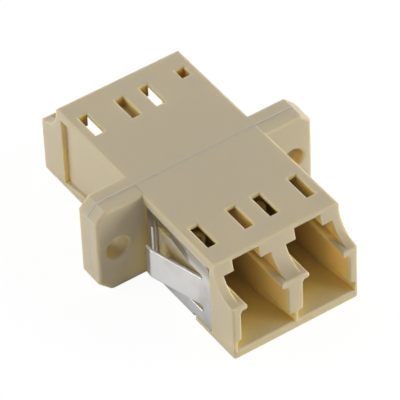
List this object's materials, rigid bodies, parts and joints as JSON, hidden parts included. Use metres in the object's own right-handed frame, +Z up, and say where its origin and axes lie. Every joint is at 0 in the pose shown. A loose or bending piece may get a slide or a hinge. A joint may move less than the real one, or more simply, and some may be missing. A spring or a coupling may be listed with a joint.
{
  "type": "lc fibre adapter",
  "caption": "Duplex fibre-optic coupler: plug ports at both ends joined by split alignment sleeves, with a screw flange and a folded steel panel clip.",
  "frame": {"origin": "middle of the underside, on the plane where the two housing halves meet", "axes": "+Y along the plugs, from the clip end to the plain end; +X across the two ports; +Z up, through the slotted roof"},
  "size_m": [0.022, 0.029, 0.009],
  "materials": {
    "housing_plastic": "satin moulded beige engineering plastic, faintly translucent",
    "clip_steel": "bright rolled stainless spring strip",
    "sleeve_bronze": "drawn phosphor bronze"
  },
  "bodies": {
    "root": {"housing_front": "housing_plastic", "housing_rear": "housing_plastic", "spring_clip": "clip_steel", "sleeve_left": "sleeve_bronze", "sleeve_right": "sleeve_bronze"}
  },
  "joints": []
}
